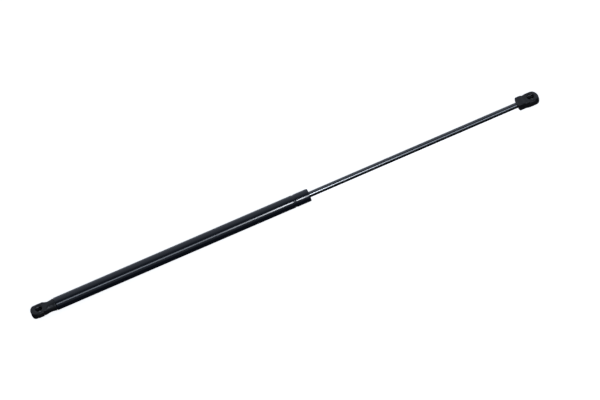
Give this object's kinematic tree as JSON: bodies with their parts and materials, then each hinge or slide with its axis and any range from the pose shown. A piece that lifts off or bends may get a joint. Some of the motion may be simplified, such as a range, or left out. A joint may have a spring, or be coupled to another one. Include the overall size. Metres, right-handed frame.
{
  "type": "gas strut stay",
  "caption": "Gas strut that holds up a lid: a piston rod slides out of a sealed tube, with a clipped ball socket on each end.",
  "frame": {"origin": "middle of the extended strut's overall length, on the axis of its tube and rod", "axes": "+X along the strut, from the tube's socket to the rod's; +Z the way both socket mouths open; +Y completes the frame"},
  "size_m": [0.7474, 0.018, 0.018],
  "materials": {
    "black_paint": "gloss black paint with a slight orange peel",
    "rod_steel": "dark nitrided steel, ground and polished",
    "plain_steel": "bare turned steel",
    "clip_steel": "blackened spring steel, bright on the cut edges",
    "socket_nylon": "moulded black glass-filled nylon",
    "guide_plastic": "moulded dark bearing plastic",
    "ring_plastic": "moulded off-white bearing plastic",
    "rubber": "black sealing rubber",
    "bronze": "lined bronze bearing bush"
  },
  "bodies": {
    "tube": {"pressure_tube": "black_paint", "base_plug": "plain_steel", "base_seal_ring": "rubber", "seal_support_ring": "plain_steel", "rod_seal": "rubber", "rod_guide": "guide_plastic", "guide_bush": "bronze", "tube_socket": "socket_nylon"},
    "sliding_ring": {"piston_ring": "ring_plastic"},
    "rod": {"piston_rod": "rod_steel", "piston_front_washer": "plain_steel", "piston": "guide_plastic", "orifice_disc": "plain_steel", "piston_rear_washer": "plain_steel", "rod_socket": "socket_nylon"},
    "tube_clip": {"tube_socket_clip": "clip_steel"},
    "rod_clip": {"rod_socket_clip": "clip_steel"}
  },
  "joints": [
    {"name": "rod_slide", "type": "slide", "parent": "tube", "child": "sliding_ring", "axis": [1, 0, 0], "range_m": [-0.3, 0]},
    {"name": "rod_spin", "type": "hinge", "parent": "sliding_ring", "child": "rod", "pos_m": [0.0064, 0, 0], "axis": [1, 0, 0], "continuous": true},
    {"name": "tube_clip_release", "type": "slide", "parent": "tube", "child": "tube_clip", "axis": [0, 0, -1], "range_m": [0, 0.003]},
    {"name": "rod_clip_release", "type": "slide", "parent": "rod", "child": "rod_clip", "axis": [0, 0, -1], "range_m": [0, 0.003]}
  ]
}
